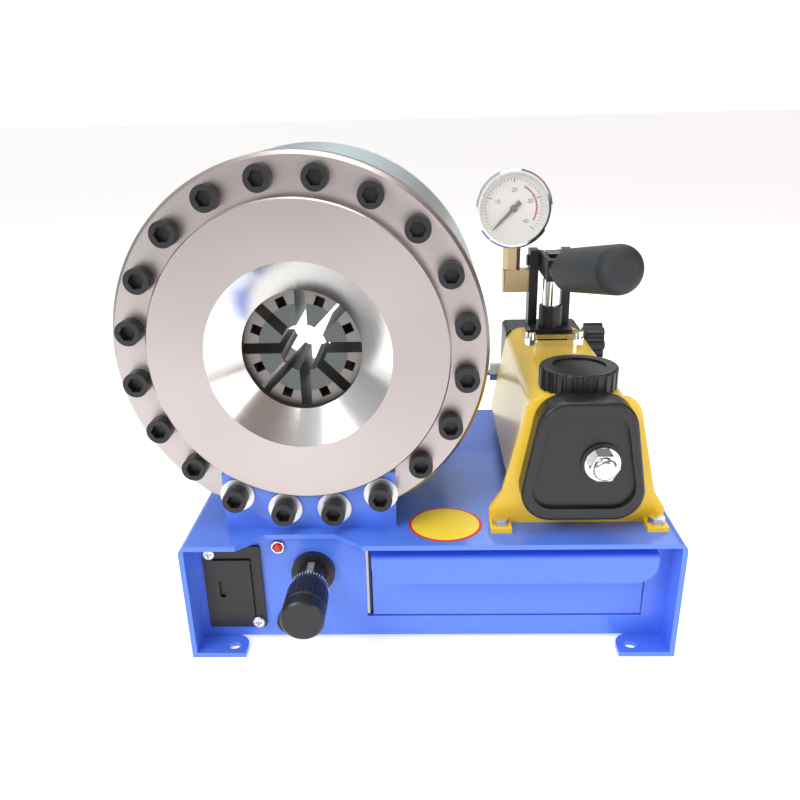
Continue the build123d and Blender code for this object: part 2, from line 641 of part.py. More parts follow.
CAP_DEPTH = 22.0
CAP_SHAPE = trapezoid(TANK_W - 7.0, TANK_TOP_W - 4.0, TOP_Z + 12.0, TANK_TOP + 4.0)
with BuildPart() as tank_end_cap:
    with BuildSketch(face_plane(PUMP_X, TANK_Y0 - 4.5, 0)):
        with BuildLine():
            Polyline(*CAP_SHAPE, close=True)
        make_face()
        fillet(vertices(), 22.0)
    extrude(amount=CAP_DEPTH)
    fillet(tank_end_cap.faces().sort_by(Axis.Y)[0].edges(), 3.0)
    with BuildSketch(face_plane(PUMP_X, TANK_Y0 - 4.5 - CAP_DEPTH, 0)):
        with BuildLine():
            Polyline(*trapezoid(TANK_W - 23.0, TANK_TOP_W - 16.0, TOP_Z + 22.0, TANK_TOP - 6.0),
                     close=True)
        make_face()
        fillet(vertices(), 16.0)
    extrude(amount=-4.0, mode=Mode.SUBTRACT)
    with BuildSketch(face_plane(TIE_X, TANK_Y0 - 0.5 - CAP_DEPTH, TIE_Z)):
        Circle(15.0)
    extrude(amount=2.0)
    with BuildSketch(face_plane(TIE_X, TANK_Y0 - 4.5, TIE_Z)):
        Circle(5.3)
    extrude(amount=CAP_DEPTH + 1.0, mode=Mode.SUBTRACT)
save(tank_end_cap.part, "tank_end_cap")

NUT_Y = TANK_Y0 - 2.5 - CAP_DEPTH
with BuildPart() as tie_bolt:
    with BuildSketch(face_plane(TIE_X, NUT_Y, TIE_Z)):
        Circle(13.0)
    extrude(amount=2.5)
    with BuildSketch(face_plane(TIE_X, NUT_Y - 2.5, TIE_Z)):
        RegularPolygon(10.97, 6)
    extrude(amount=8.0)
    with BuildSketch(face_plane(TIE_X, NUT_Y - 10.5, TIE_Z)):
        Circle(8.8)
    extrude(amount=4.0)
    fillet(tie_bolt.faces().sort_by(Axis.Y)[0].edges(), 3.6)
    with BuildSketch(face_plane(TIE_X, NUT_Y, TIE_Z)):
        Circle(5.0)
    extrude(amount=-(TANK_Y1 - 5.0 - NUT_Y))
save(tie_bolt.part, "tie_bolt")

CAP_R = 29.5
with BuildPart() as filler_cap:
    with BuildSketch(Plane.XY.offset(TANK_TOP + 0.2)):
        with Locations((PUMP_X, FILLER_Y)):
            Circle(CAP_R)
    extrude(amount=16.0)
    fillet(filler_cap.faces().sort_by(Axis.Z)[-1].edges(), 2.0)
    with BuildSketch(Plane.XY.offset(TANK_TOP + 0.2)):
        with Locations((PUMP_X, FILLER_Y)):
            with PolarLocations(CAP_R + 0.8, 24):
                Circle(2.2)
    extrude(amount=16.0, mode=Mode.SUBTRACT)
    with BuildSketch(Plane.XY.offset(TANK_TOP + 16.2)):
        with Locations((PUMP_X, FILLER_Y)):
            Circle(20.0)
    extrude(amount=-1.5, mode=Mode.SUBTRACT)
    with BuildSketch(Plane.XY.offset(TANK_TOP + 0.2)):
        with Locations((PUMP_X, FILLER_Y)):
            Circle(14.93)
    extrude(amount=-10.0)
save(filler_cap.part, "filler_cap")

# pump head behind the tank
BODY_X = PUMP_X
with BuildPart() as pump_body:
    with BuildSketch(face_plane(BODY_X, TANK_Y1, 0)):
        with Locations((0, (TOP_Z + TANK_TOP - 3.0) / 2)):
            Rectangle(BODY_W, TANK_TOP - 3.0 - TOP_Z)
    extrude(amount=-46.0)
    fillet(pump_body.edges().filter_by(Axis.Y), 5.0)
    with BuildSketch(depth_plane(BODY_X, KNOB_Y, KNOB_Z)):
        Circle(6.05)
    extrude(amount=40.0, mode=Mode.SUBTRACT)
    with BuildSketch(depth_plane(BODY_X + 12.0, OUTLET_Y, OUTLET_Z)):
        Circle(4.1)
    extrude(amount=-60.0, mode=Mode.SUBTRACT)
save(pump_body.part, "pump_body")

with BuildPart() as release_knob:
    with BuildSketch(depth_plane(BODY_X + BODY_W / 2 + 4.0, KNOB_Y, KNOB_Z)):
        Circle(18.0)
        with PolarLocations(19.5, 7):
            Circle(5.0, mode=Mode.SUBTRACT)
    extrude(amount=18.0)
    fillet(release_knob.faces().sort_by(Axis.X)[-1].edges(), 1.5)
    with BuildSketch(depth_plane(BODY_X + 2.0, KNOB_Y, KNOB_Z)):
        Circle(6.0)
    extrude(amount=BODY_W / 2 + 3.0)
save(release_knob.part, "release_knob")

PIPE_X = HEAD_X + PORT_R
PIPE_Y0 = FACE_Y + BARREL_BACK
with BuildPart() as pressure_pipe:
    with BuildLine():
        FilletPolyline((PIPE_X, PIPE_Y0 - 8.0, HEAD_Z), (PIPE_X, PIPE_Y0 + 32.0, HEAD_Z),
                       (PIPE_X, OUTLET_Y, OUTLET_Z), (BODY_X - BODY_W / 2, OUTLET_Y, OUTLET_Z),
                       radius=14.0)
    with BuildSketch(face_plane(PIPE_X, PIPE_Y0 - 8.0, HEAD_Z)):
        Circle(4.0)
    sweep()
    with BuildSketch(face_plane(PIPE_X, PIPE_Y0, HEAD_Z)):
        RegularPolygon(9.0, 6)
    extrude(amount=-13.0)
    with BuildSketch(depth_plane(BODY_X - BODY_W / 2, OUTLET_Y, OUTLET_Z)):
        RegularPolygon(9.0, 6)
    extrude(amount=-13.0)
save(pressure_pipe.part, "pressure_pipe")

# clevis, plunger and lever
EAR_IN = 11.0
EAR_T = 8.0
DRIVE_Y = PIVOT_Y - DRIVE_ARM
with BuildPart() as lever_clevis:
    with BuildSketch(Plane.XY.offset(TANK_TOP)):
        with Locations((PUMP_X, PIVOT_Y - 14.0)):
            Rectangle(2 * (EAR_IN + EAR_T), 44.0)
    extrude(amount=8.0)
    with BuildSketch(Plane.XY.offset(TANK_TOP + 8.0)):
        with Locations((PUMP_X, DRIVE_Y)):
            Circle(10.5)
    extrude(amount=20.0)
    with BuildSketch(Plane.XY.offset(TANK_TOP + 1.5)):
        with Locations((PUMP_X, DRIVE_Y)):
            Circle(8.05)
    extrude(amount=30.0, mode=Mode.SUBTRACT)
    for sx in (-1, 1):
        with BuildSketch(depth_plane(PUMP_X + sx * (EAR_IN + EAR_T / 2), PIVOT_Y, 0)):
            with BuildLine():
                Polyline((-12, TANK_TOP + 8), (-10, PIVOT_Z), (-10, PIVOT_Z + 10),
                         (8, PIVOT_Z + 10), (8, TANK_TOP + 8), close=True)
            make_face()
        extrude(amount=EAR_T / 2, both=True)
    with BuildSketch(depth_plane(PUMP_X - 30.0, PIVOT_Y, PIVOT_Z)):
        Circle(5.05)
    extrude(amount=60.0, mode=Mode.SUBTRACT)
save(lever_clevis.part, "lever_clevis")

with BuildPart() as clamp_ring:
    with BuildSketch(Plane.XY.offset(TANK_TOP)):
        with Locations((PUMP_X, PIVOT_Y - 52.0)):
            SlotOverall(52.0, 26.0)
            SlotOverall(40.0, 14.0, mode=Mode.SUBTRACT)
    extrude(amount=6.0)
    with BuildSketch(Plane.XY.offset(TANK_TOP + 6.0)):
        with Locations((PUMP_X - 21.0, PIVOT_Y - 52.0), (PUMP_X + 21.0, PIVOT_Y - 52.0)):
            Circle(4.5)
    extrude(amount=5.0)
save(clamp_ring.part, "clamp_ring")

with BuildPart() as plunger:
    with BuildSketch(Plane.XY.offset(TANK_TOP + 2.0)):
        with Locations((PUMP_X, DRIVE_Y)):
            Circle(8.0)
    extrude(amount=PIVOT_Z - 15.0 - TANK_TOP)
    with BuildSketch(depth_plane(PUMP_X, PIVOT_Y, PIVOT_Z)):
        with Locations((-DRIVE_ARM + 1.5, -2.0)):
            Rectangle(24.0, 24.0)
        with Locations((-DRIVE_ARM + 2.5, 0)):
            SlotOverall(17.0, 8.2, mode=Mode.SUBTRACT)
    extrude(amount=6.0, both=True)
save(plunger.part, "plunger")

GRIP_END = Vector(PUMP_X + 21.0, FACE_Y + 13.0, PIVOT_Z + 26.0)
TUBE_START = Vector(PUMP_X, PIVOT_Y - 56.0, PIVOT_Z)
GRIP_DIR = (GRIP_END - TUBE_START).normalized()
LEVER_LEN = (GRIP_END - TUBE_START).length
GRIP_LEN = 118.0
with BuildPart() as lever_handle:
    for sx in (-1, 1):
        with BuildSketch(depth_plane(PUMP_X + sx * 8.25, PIVOT_Y, PIVOT_Z)):
            with BuildLine():
                Polyline((-60, -9), (-60, 9), (0, 9), (8, 4), (8, -4), (0, -9), close=True)
            make_face()
        extrude(amount=1.75, both=True)
    with BuildSketch(depth_plane(PUMP_X, PIVOT_Y, PIVOT_Z)):
        with Locations((-54.5, 0)):
            Rectangle(11.0, 18.0)
    extrude(amount=10.0, both=True)
    with BuildSketch(depth_plane(PUMP_X - 21.0, PIVOT_Y, PIVOT_Z)):
        Circle(5.0)
    extrude(amount=42.0)
    with BuildSketch(depth_plane(PUMP_X - 8.25, DRIVE_Y, PIVOT_Z)):
        Circle(3.0)
    extrude(amount=16.5)
    with BuildSketch(Plane(origin=TUBE_START, z_dir=GRIP_DIR)):
        Circle(10.0)
    extrude(amount=LEVER_LEN - 4.0)
save(lever_handle.part, "lever_handle")

with BuildPart() as lever_grip:
    with BuildSketch(Plane(origin=GRIP_END - GRIP_DIR * GRIP_LEN, z_dir=GRIP_DIR)):
        Circle(17.5)
    extrude(amount=GRIP_LEN)
    fillet(lever_grip.faces().sort_by(Axis.Y)[0].edges(), 11.0)
    fillet(lever_grip.faces().sort_by(Axis.Y)[-1].edges(), 4.0)
    with BuildSketch(Plane(origin=GRIP_END - GRIP_DIR * GRIP_LEN, z_dir=GRIP_DIR)):
        Circle(10.0)
    extrude(amount=GRIP_LEN - 4.0, mode=Mode.SUBTRACT)
save(lever_grip.part, "lever_grip")

# pressure gauge on the left ear
EAR_X = PUMP_X - EAR_IN - EAR_T
with BuildPart() as gauge_adapter:
    with BuildSketch(Plane.XY.offset(PIVOT_Z - 28.0)):
        with Locations(((GAUGE_X - 8.0 + EAR_X) / 2, PIVOT_Y)):
            Rectangle(EAR_X - GAUGE_X + 8.0, 15.0)
    extrude(amount=20.0)
    fillet(gauge_adapter.edges().filter_by(Axis.Z).group_by(Axis.X)[0], 3.0)
    with BuildSketch(Plane.XY.offset(PIVOT_Z - 8.0)):
        with Locations((GAUGE_X, PIVOT_Y)):
            RegularPolygon(8.0, 6)
    extrude(amount=GAUGE_Z - 31.0 - (PIVOT_Z - 8.0))
    with BuildSketch(face_plane(GAUGE_X, GAUGE_Y, GAUGE_Z)):
        Circle(GAUGE_R)
    extrude(amount=-30.0, mode=Mode.SUBTRACT)
save(gauge_adapter.part, "gauge_adapter")

with BuildPart() as gauge_case:
    with BuildSketch(depth_plane(GAUGE_X, GAUGE_Y, GAUGE_Z)):
        with BuildLine():
            Polyline((0, 30.6), (0, 32.5), (1.5, GAUGE_R), (7.0, GAUGE_R), (8.0, 32.5),
                     (24.0, 31.0), (26.0, 29.0), (26.0, 0), (8.0, 0), (8.0, 30.6), close=True)
        make_face()
    revolve(axis=Axis((GAUGE_X, GAUGE_Y, GAUGE_Z), (0, 1, 0)))
save(gauge_case.part, "gauge_case")

with BuildPart() as gauge_dial:
    with BuildSketch(face_plane(GAUGE_X, GAUGE_Y + 8.0, GAUGE_Z)):
        Circle(30.6)
    extrude(amount=1.0)
save(gauge_dial.part, "gauge_dial")

with BuildPart() as gauge_glass:
    with BuildSketch(face_plane(GAUGE_X, GAUGE_Y + 2.5, GAUGE_Z)):
        Circle(30.6)
    extrude(amount=1.6)
save(gauge_glass.part, "gauge_glass")

with BuildPart() as gauge_needle:
    with BuildSketch(face_plane(GAUGE_X, GAUGE_Y + 6.6, GAUGE_Z)):
        Circle(3.2)
        with Locations(Location((0, 0, 0), (0, 0, 225))):
            Polygon((0, 1.6), (24.0, 0.5), (24.0, -0.5), (0, -1.6), (-8.0, -2.2),
                    (-8.0, 2.2), align=None)
    extrude(amount=1.2)
    with BuildSketch(face_plane(GAUGE_X, GAUGE_Y + 6.6, GAUGE_Z)):
        Circle(1.2)
    extrude(amount=-0.3)
save(gauge_needle.part, "gauge_needle")
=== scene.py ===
import math

import bpy
from mathutils import Matrix, Vector


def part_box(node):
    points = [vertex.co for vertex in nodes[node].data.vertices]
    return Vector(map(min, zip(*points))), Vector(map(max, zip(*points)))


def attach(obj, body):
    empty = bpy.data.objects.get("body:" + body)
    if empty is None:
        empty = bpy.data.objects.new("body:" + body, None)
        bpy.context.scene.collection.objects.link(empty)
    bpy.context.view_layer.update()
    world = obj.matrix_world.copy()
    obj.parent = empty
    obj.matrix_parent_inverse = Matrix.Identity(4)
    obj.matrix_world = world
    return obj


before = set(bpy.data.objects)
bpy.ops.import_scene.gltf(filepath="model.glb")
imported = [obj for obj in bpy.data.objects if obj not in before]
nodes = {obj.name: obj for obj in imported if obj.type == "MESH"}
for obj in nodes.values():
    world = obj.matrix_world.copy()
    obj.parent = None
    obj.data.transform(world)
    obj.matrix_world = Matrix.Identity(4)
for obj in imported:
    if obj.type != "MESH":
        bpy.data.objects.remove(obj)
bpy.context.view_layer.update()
print("stage: frame loaded")


def newGroup(name):
    group = bpy.data.node_groups.new(name, "ShaderNodeTree")
    group.interface.new_socket("Scale", in_out="INPUT", socket_type="NodeSocketFloat")
    group.interface.new_socket("Low", in_out="INPUT", socket_type="NodeSocketFloat")
    group.interface.new_socket("High", in_out="INPUT", socket_type="NodeSocketFloat")
    group.interface.new_socket("Bump", in_out="INPUT", socket_type="NodeSocketFloat")
    group.interface.new_socket("Roughness", in_out="OUTPUT", socket_type="NodeSocketFloat")
    group.interface.new_socket("Normal", in_out="OUTPUT", socket_type="NodeSocketVector")
    return group


def link(tree, a, b):
    tree.links.new(a, b)


def finishGroup(group, heightNode, heightOut, ins, outs):
    ramp = group.nodes.new("ShaderNodeMapRange")
    bump = group.nodes.new("ShaderNodeBump")
    bump.inputs["Distance"].default_value = 0.0004
    link(group, heightNode.outputs[heightOut], ramp.inputs["Value"])
    link(group, ins.outputs["Low"], ramp.inputs["To Min"])
    link(group, ins.outputs["High"], ramp.inputs["To Max"])
    link(group, heightNode.outputs[heightOut], bump.inputs["Height"])
    link(group, ins.outputs["Bump"], bump.inputs["Strength"])
    link(group, ramp.outputs["Result"], outs.inputs["Roughness"])
    link(group, bump.outputs["Normal"], outs.inputs["Normal"])


# fine grain for paint, plastic and cast surfaces
grain = newGroup("grain")
grainIn = grain.nodes.new("NodeGroupInput")
grainOut = grain.nodes.new("NodeGroupOutput")
grainCoord = grain.nodes.new("ShaderNodeTexCoord")
grainNoise = grain.nodes.new("ShaderNodeTexNoise")
grainNoise.inputs["Detail"].default_value = 4.0
link(grain, grainCoord.outputs["Object"], grainNoise.inputs["Vector"])
link(grain, grainIn.outputs["Scale"], grainNoise.inputs["Scale"])
finishGroup(grain, grainNoise, "Fac", grainIn, grainOut)

# turned rings about the head axis
headLow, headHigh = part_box("front_cover")
headMid = (headLow + headHigh) / 2
turned = newGroup("turned")
turnedIn = turned.nodes.new("NodeGroupInput")
turnedOut = turned.nodes.new("NodeGroupOutput")
turnedCoord = turned.nodes.new("ShaderNodeTexCoord")
turnedShift = turned.nodes.new("ShaderNodeVectorMath")
turnedShift.operation = "SUBTRACT"
turnedShift.inputs[1].default_value = (headMid.x, 0, headMid.z)
turnedFlat = turned.nodes.new("ShaderNodeVectorMath")
turnedFlat.operation = "MULTIPLY"
turnedFlat.inputs[1].default_value = (1, 0, 1)
turnedLength = turned.nodes.new("ShaderNodeVectorMath")
turnedLength.operation = "LENGTH"
turnedNoise = turned.nodes.new("ShaderNodeTexNoise")
turnedNoise.noise_dimensions = "1D"
turnedNoise.inputs["Detail"].default_value = 6.0
link(turned, turnedCoord.outputs["Object"], turnedShift.inputs[0])
link(turned, turnedShift.outputs[0], turnedFlat.inputs[0])
link(turned, turnedFlat.outputs[0], turnedLength.inputs[0])
link(turned, turnedLength.outputs["Value"], turnedNoise.inputs["W"])
link(turned, turnedIn.outputs["Scale"], turnedNoise.inputs["Scale"])
finishGroup(turned, turnedNoise, "Fac", turnedIn, turnedOut)

looks = {
    "bluePaint": dict(color=(0.085, 0.215, 0.86), rough=(0.30, 0.38), bump=0.012, scale=1500, coat=0.45),
    "yellowPaint": dict(color=(1.0, 0.66, 0.03), rough=(0.28, 0.40), bump=0.03, scale=900, coat=0.45),
    "turnedSteel": dict(color=(0.50, 0.455, 0.445), metal=1, rough=(0.26, 0.40), bump=0.05, scale=2600,
                        group="turned", aniso=0.7),
    # polished cone: smoother steel, with a paler colour as a painted reflection
    "coneSteelPaintedReflection": dict(color=(0.80, 0.80, 0.79), metal=1, rough=(0.10, 0.20), bump=0.02, scale=2600,
                      group="turned", aniso=0.4),
    # near-black painted shade on the inner faces of the cover's bore
    "throatPaintedShade": dict(color=(0.05, 0.05, 0.052), metal=0.7, rough=(0.35, 0.5), bump=0.03, scale=700),
    "barrelSteel": dict(color=(0.56, 0.66, 0.68), metal=1, rough=(0.24, 0.34), bump=0.02, scale=900),
    "blackOxide": dict(color=(0.035, 0.036, 0.04), metal=0.6, rough=(0.30, 0.48), bump=0.08, scale=400),
    "dieSteel": dict(color=(0.24, 0.225, 0.215), metal=0.85, rough=(0.34, 0.50), bump=0.06, scale=900),
    "jawSteel": dict(color=(0.12, 0.135, 0.135), metal=0.8, rough=(0.34, 0.50), bump=0.06, scale=900),
    "blackPlastic": dict(color=(0.012, 0.012, 0.013), rough=(0.28, 0.42), bump=0.05, scale=1400),
    "chrome": dict(color=(0.86, 0.87, 0.88), metal=1, rough=(0.06, 0.14), bump=0.02, scale=60),
    "zinc": dict(color=(0.68, 0.69, 0.71), metal=1, rough=(0.24, 0.40), bump=0.05, scale=300),
    "redPlastic": dict(color=(0.62, 0.015, 0.02), rough=(0.16, 0.26), bump=0.02, scale=200, coat=0.5),
    "foam": dict(color=(0.018, 0.022, 0.026), rough=(0.50, 0.72), bump=0.9, scale=650),
    "rubber": dict(color=(0.015, 0.015, 0.016), rough=(0.6, 0.8), bump=0.2, scale=500),
    "dialWhite": dict(color=(0.88, 0.88, 0.85), rough=(0.35, 0.45), bump=0.0, scale=100),
    "brass": dict(color=(0.62, 0.50, 0.30), metal=1, rough=(0.25, 0.38), bump=0.05, scale=300),
    "whiteInk": dict(color=(0.85, 0.86, 0.86), rough=(0.4, 0.5), bump=0.0, scale=100),
    "blackInk": dict(color=(0.02, 0.02, 0.022), rough=(0.4, 0.5), bump=0.0, scale=100),
    "redInk": dict(color=(0.75, 0.02, 0.02), rough=(0.35, 0.45), bump=0.0, scale=100),
    "yellowVinyl": dict(color=(0.98, 0.76, 0.05), rough=(0.3, 0.4), bump=0.02, scale=150),
}
mats = {}
for name, look in looks.items():
    mat = bpy.data.materials.new(name)
    mat.use_nodes = True
    tree = mat.node_tree
    bsdf = tree.nodes["Principled BSDF"]
    bsdf.inputs["Base Color"].default_value = (*look["color"], 1)
    bsdf.inputs["Metallic"].default_value = look.get("metal", 0)
    bsdf.inputs["Coat Weight"].default_value = look.get("coat", 0)
    bsdf.inputs["Coat Roughness"].default_value = 0.12
    if "aniso" in look:
        bsdf.inputs["Anisotropic"].default_value = look["aniso"]
        tangent = tree.nodes.new("ShaderNodeTangent")
        tangent.direction_type = "RADIAL"
        tangent.axis = "Y"
        link(tree, tangent.outputs["Tangent"], bsdf.inputs["Tangent"])
    surface = tree.nodes.new("ShaderNodeGroup")
    surface.node_tree = turned if look.get("group") == "turned" else grain
    surface.inputs["Scale"].default_value = look["scale"]
    surface.inputs["Low"].default_value = look["rough"][0]
    surface.inputs["High"].default_value = look["rough"][1]
    surface.inputs["Bump"].default_value = look["bump"]
    link(tree, surface.outputs["Roughness"], bsdf.inputs["Roughness"])
    link(tree, surface.outputs["Normal"], bsdf.inputs["Normal"])
    mats[name] = mat

glassMat = bpy.data.materials.new("clearGlass")
glassMat.use_nodes = True
glassShader = glassMat.node_tree.nodes["Principled BSDF"]
glassShader.inputs["Base Color"].default_value = (0.97, 0.99, 0.99, 1)
glassShader.inputs["Roughness"].default_value = 0.03
glassShader.inputs["Alpha"].default_value = 0.12
mats["clearGlass"] = glassMat

nodeLooks = {
    "bluePaint": "base_frame front_panel rear_panel head_bracket rear_bracket drawer_tray drawer_front",
    "yellowPaint": "tank_shell pump_bracket",
    "turnedSteel": "front_cover piston",
    "barrelSteel": "barrel",
    "blackOxide": "cover_bolts bracket_bolts rear_bolts pump_body lever_clevis lever_handle",
    "blackPlastic": "mic_sleeve mic_thimble limit_switch battery_box battery_tray button_bezel "
                    "tank_end_cap filler_cap gauge_needle release_knob drawer_rails",
    "chrome": "gauge_case tie_bolt clamp_ring plunger",
    "zinc": "bracket_washers panel_screws pump_bolts pressure_pipe",
    "redPlastic": "led_lamp push_button",
    "foam": "lever_grip",
    "rubber": "piston_seal",
    "dialWhite": "gauge_dial",
    "clearGlass": "gauge_glass",
    "brass": "gauge_adapter",
}
bevelWidths = {"front_cover": 0.0006, "barrel": 0.0006, "tank_shell": 0.0, "gauge_glass": 0.0,
          "gauge_dial": 0.0, "gauge_needle": 0.0, "piston": 0.0005, "piston_seal": 0.0, "mic_thimble": 0.0003,
          "pressure_pipe": 0.0, "led_lamp": 0.0, "front_panel": 0.0003}
lookOf = {n: look for look, names in nodeLooks.items() for n in names.split()}
lookOf.update({"crimp_die_%d" % k: "jawSteel" for k in range(1, 9)})
for name, node in nodes.items():
    node.data.materials.clear()
    node.data.materials.append(mats[lookOf.get(name, "dieSteel")])
    node.data.polygons.foreach_set("use_smooth", [True] * len(node.data.polygons))
    node.data.set_sharp_from_angle(angle=math.radians(28))
    width = bevelWidths.get(name, 0.0005)
    if width:
        bevel = node.modifiers.new("edge", "BEVEL")
        bevel.width = width
        bevel.segments = 2
        bevel.limit_method = "ANGLE"
        bevel.angle_limit = math.radians(40)
        bevel.harden_normals = True

# the cover's polished cone, coloured paler than the rest of the steel as a painted reflection, and its throat
# coloured near black as painted shade
coverFaces = dict(throatR=0.044, mouthR=0.067, coneDepth=0.020)
cover = nodes["front_cover"]
cover.data.materials.append(mats["coneSteelPaintedReflection"])
cover.data.materials.append(mats["throatPaintedShade"])
for face in cover.data.polygons:
    away = math.hypot(face.center.x - headMid.x, face.center.z - headMid.z)
    depth = face.center.y - headLow.y
    if away < coverFaces["mouthR"] - 0.0002 and abs(face.normal.y) > 0.2 and depth < coverFaces["coneDepth"]:
        face.material_index = 1
    elif away < coverFaces["throatR"] + 0.0005:
        face.material_index = 2
print("stage: materials set")


def settle(obj, name, look, body):
    bpy.ops.object.select_all(action="DESELECT")
    obj.select_set(True)
    bpy.context.view_layer.objects.active = obj
    if obj.type == "FONT":
        bpy.ops.object.convert(target="MESH")
        obj = bpy.context.view_layer.objects.active
    for mod in list(obj.modifiers):
        bpy.ops.object.modifier_apply(modifier=mod.name)
    bpy.ops.object.transform_apply(location=True, rotation=True, scale=True)
    obj.name = name
    obj.data.name = name
    obj.data.materials.clear()
    obj.data.materials.append(mats[look])
    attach(obj, body)
    return obj


def joined(parts):
    bpy.ops.object.select_all(action="DESELECT")
    for part in parts:
        part.select_set(True)
    bpy.context.view_layer.objects.active = parts[0]
    bpy.ops.object.join()
    return bpy.context.view_layer.objects.active


def bar(center, size, turnY=0.0, pivot=None):
    bpy.ops.object.select_all(action="DESELECT")
    bpy.ops.mesh.primitive_cube_add(size=1, location=center)
    piece = bpy.context.view_layer.objects.active
    piece.scale = size
    bpy.ops.object.transform_apply(location=True, rotation=False, scale=True)
    if pivot is not None:
        turn = Matrix.Translation(pivot) @ Matrix.Rotation(turnY, 4, "Y") @ Matrix.Translation(-pivot)
        piece.data.transform(turn)
    return piece


def word(text, size, center, normalTurn, thick=0.0001):
    bpy.ops.object.select_all(action="DESELECT")
    bpy.ops.object.text_add(location=center, rotation=normalTurn)
    letters = bpy.context.view_layer.objects.active
    letters.data.body = text
    letters.data.size = size
    letters.data.align_x = "CENTER"
    letters.data.align_y = "CENTER"
    letters.data.extrude = thick
    bpy.ops.object.convert(target="MESH")
    return bpy.context.view_layer.objects.active


# gauge face: scale ticks, plain numbers and a red zone
gaugeFace = dict(start=-135, sweep=270, rim=0.0262, redR=0.0205, redFrom=0.60, redTo=0.94)
dialLow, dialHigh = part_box("gauge_dial")
dialMid = Vector(((dialLow.x + dialHigh.x) / 2, dialLow.y - 0.00012, (dialLow.z + dialHigh.z) / 2))
ticks = []
for k in range(41):
    angle = math.radians(gaugeFace["start"] + gaugeFace["sweep"] * k / 40)
    long = k % 10 == 0
    length = 0.0045 if long else (0.0032 if k % 5 == 0 else 0.0020)
    center = dialMid + Vector((0, 0, gaugeFace["rim"] - length / 2))
    ticks.append(bar(center, (0.0007 if long else 0.0004, 0.0001, length), angle, dialMid))
settle(joined(ticks), "dialTicks", "blackInk", "machine")
numbers = []
for k, text in enumerate(("0", "10", "20", "30", "40")):
    angle = math.radians(gaugeFace["start"] + gaugeFace["sweep"] * k / 4)
    spot = dialMid + Vector((math.sin(angle) * 0.0158, 0, math.cos(angle) * 0.0158))
    numbers.append(word(text, 0.0052, spot, (math.radians(90), 0, 0), 0.00005))
settle(joined(numbers), "dialNumbers", "blackInk", "machine")
redBars = []
for k in range(36):
    share = gaugeFace["redFrom"] + (gaugeFace["redTo"] - gaugeFace["redFrom"]) * k / 35
    angle = math.radians(gaugeFace["start"] + gaugeFace["sweep"] * share)
    center = dialMid + Vector((0, 0.00002, gaugeFace["redR"]))
    redBars.append(bar(center, (0.0012, 0.0001, 0.0016), angle, dialMid))
settle(joined(redBars), "dialRedZone", "redInk", "machine")
print("stage: gauge face")

# micrometer marks on the thimble and sleeve
thimbleLow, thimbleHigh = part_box("mic_thimble")
micX = (thimbleLow.x + thimbleHigh.x) / 2
micZ = (thimbleLow.z + thimbleHigh.z) / 2
micMarks = dict(panelY=headLow.y, sleeveR=0.01155, sleeveStart=0.0085, sleeveStep=0.0019, sleeveRows=8,
                edgeR=0.0139, edgeY=0.0265, edgeLines=40, slope=11.3, longLine=0.0048, shortLine=0.003,
                lineWidth=0.0004, ink=0.0001)
sleeveMarks = []
micPivot = Vector((micX, 0, micZ))
for k in range(micMarks["sleeveRows"]):
    wide = 0.007 if k % 2 == 0 else 0.0045
    y = micMarks["panelY"] - micMarks["sleeveStart"] - micMarks["sleeveStep"] * k
    for j in range(4):
        angle = math.radians(-9 + 6 * j)
        place = Vector((micX, y, micZ + micMarks["sleeveR"]))
        sleeveMarks.append(bar(place, (wide / 4, micMarks["lineWidth"], micMarks["ink"]), angle, micPivot))
settle(joined(sleeveMarks), "sleeveMarks", "whiteInk", "machine")
thimbleMarks = []
for k in range(micMarks["edgeLines"]):
    angle = 2 * math.pi * k / micMarks["edgeLines"]
    long = micMarks["longLine"] if k % 5 == 0 else micMarks["shortLine"]
    mark = bar(Vector((0, 0, 0)), (micMarks["lineWidth"], long, micMarks["ink"]))
    slope = Matrix.Rotation(math.radians(micMarks["slope"]), 4, "X")
    y = micMarks["panelY"] - micMarks["edgeY"] - long / 2
    r = micMarks["edgeR"] + (long / 2 + 0.0005) * 0.2
    mark.data.transform(Matrix.Translation((micX, y, micZ)) @ Matrix.Rotation(angle, 4, "Y")
                        @ Matrix.Translation((0, 0, r)) @ slope)
    thimbleMarks.append(mark)
settle(joined(thimbleMarks), "thimbleMarks", "whiteInk", "thimble")
print("stage: micrometer marks")

# blank round plate on the base top, between the head bracket and the pump
notice = dict(x=0.0120, y=-0.1155, r=0.0285, rim=0.0022)
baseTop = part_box("base_frame")[1].z
for name, look, radius, lift in (("noticeRim", "redInk", notice["r"], 0.00012),
                                 ("noticeDisc", "yellowVinyl", notice["r"] - notice["rim"], 0.00026)):
    bpy.ops.object.select_all(action="DESELECT")
    bpy.ops.mesh.primitive_cylinder_add(vertices=96, radius=radius, depth=0.0002,
                                        location=(notice["x"], notice["y"], baseTop + lift))
    disc = bpy.context.view_layer.objects.active
    soft = disc.modifiers.new("edge", "BEVEL")
    soft.width = 0.00006
    soft.limit_method = "ANGLE"
    settle(disc, name, look, "machine")

# chrome ring round the lamp
lampLow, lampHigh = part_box("led_lamp")
lampMid = (lampLow + lampHigh) / 2
lampBezel = dict(r=0.0046, wireR=0.0009, proud=0.0017)
bpy.ops.object.select_all(action="DESELECT")
bpy.ops.mesh.primitive_torus_add(major_radius=lampBezel["r"], minor_radius=lampBezel["wireR"],
                                 major_segments=64, minor_segments=16, rotation=(math.radians(90), 0, 0),
                                 location=(lampMid.x, headLow.y - lampBezel["proud"], lampMid.z))
ring = bpy.context.view_layer.objects.active
bpy.ops.object.shade_smooth()
settle(ring, "lampRing", "chrome", "machine")
print("stage: small pieces")

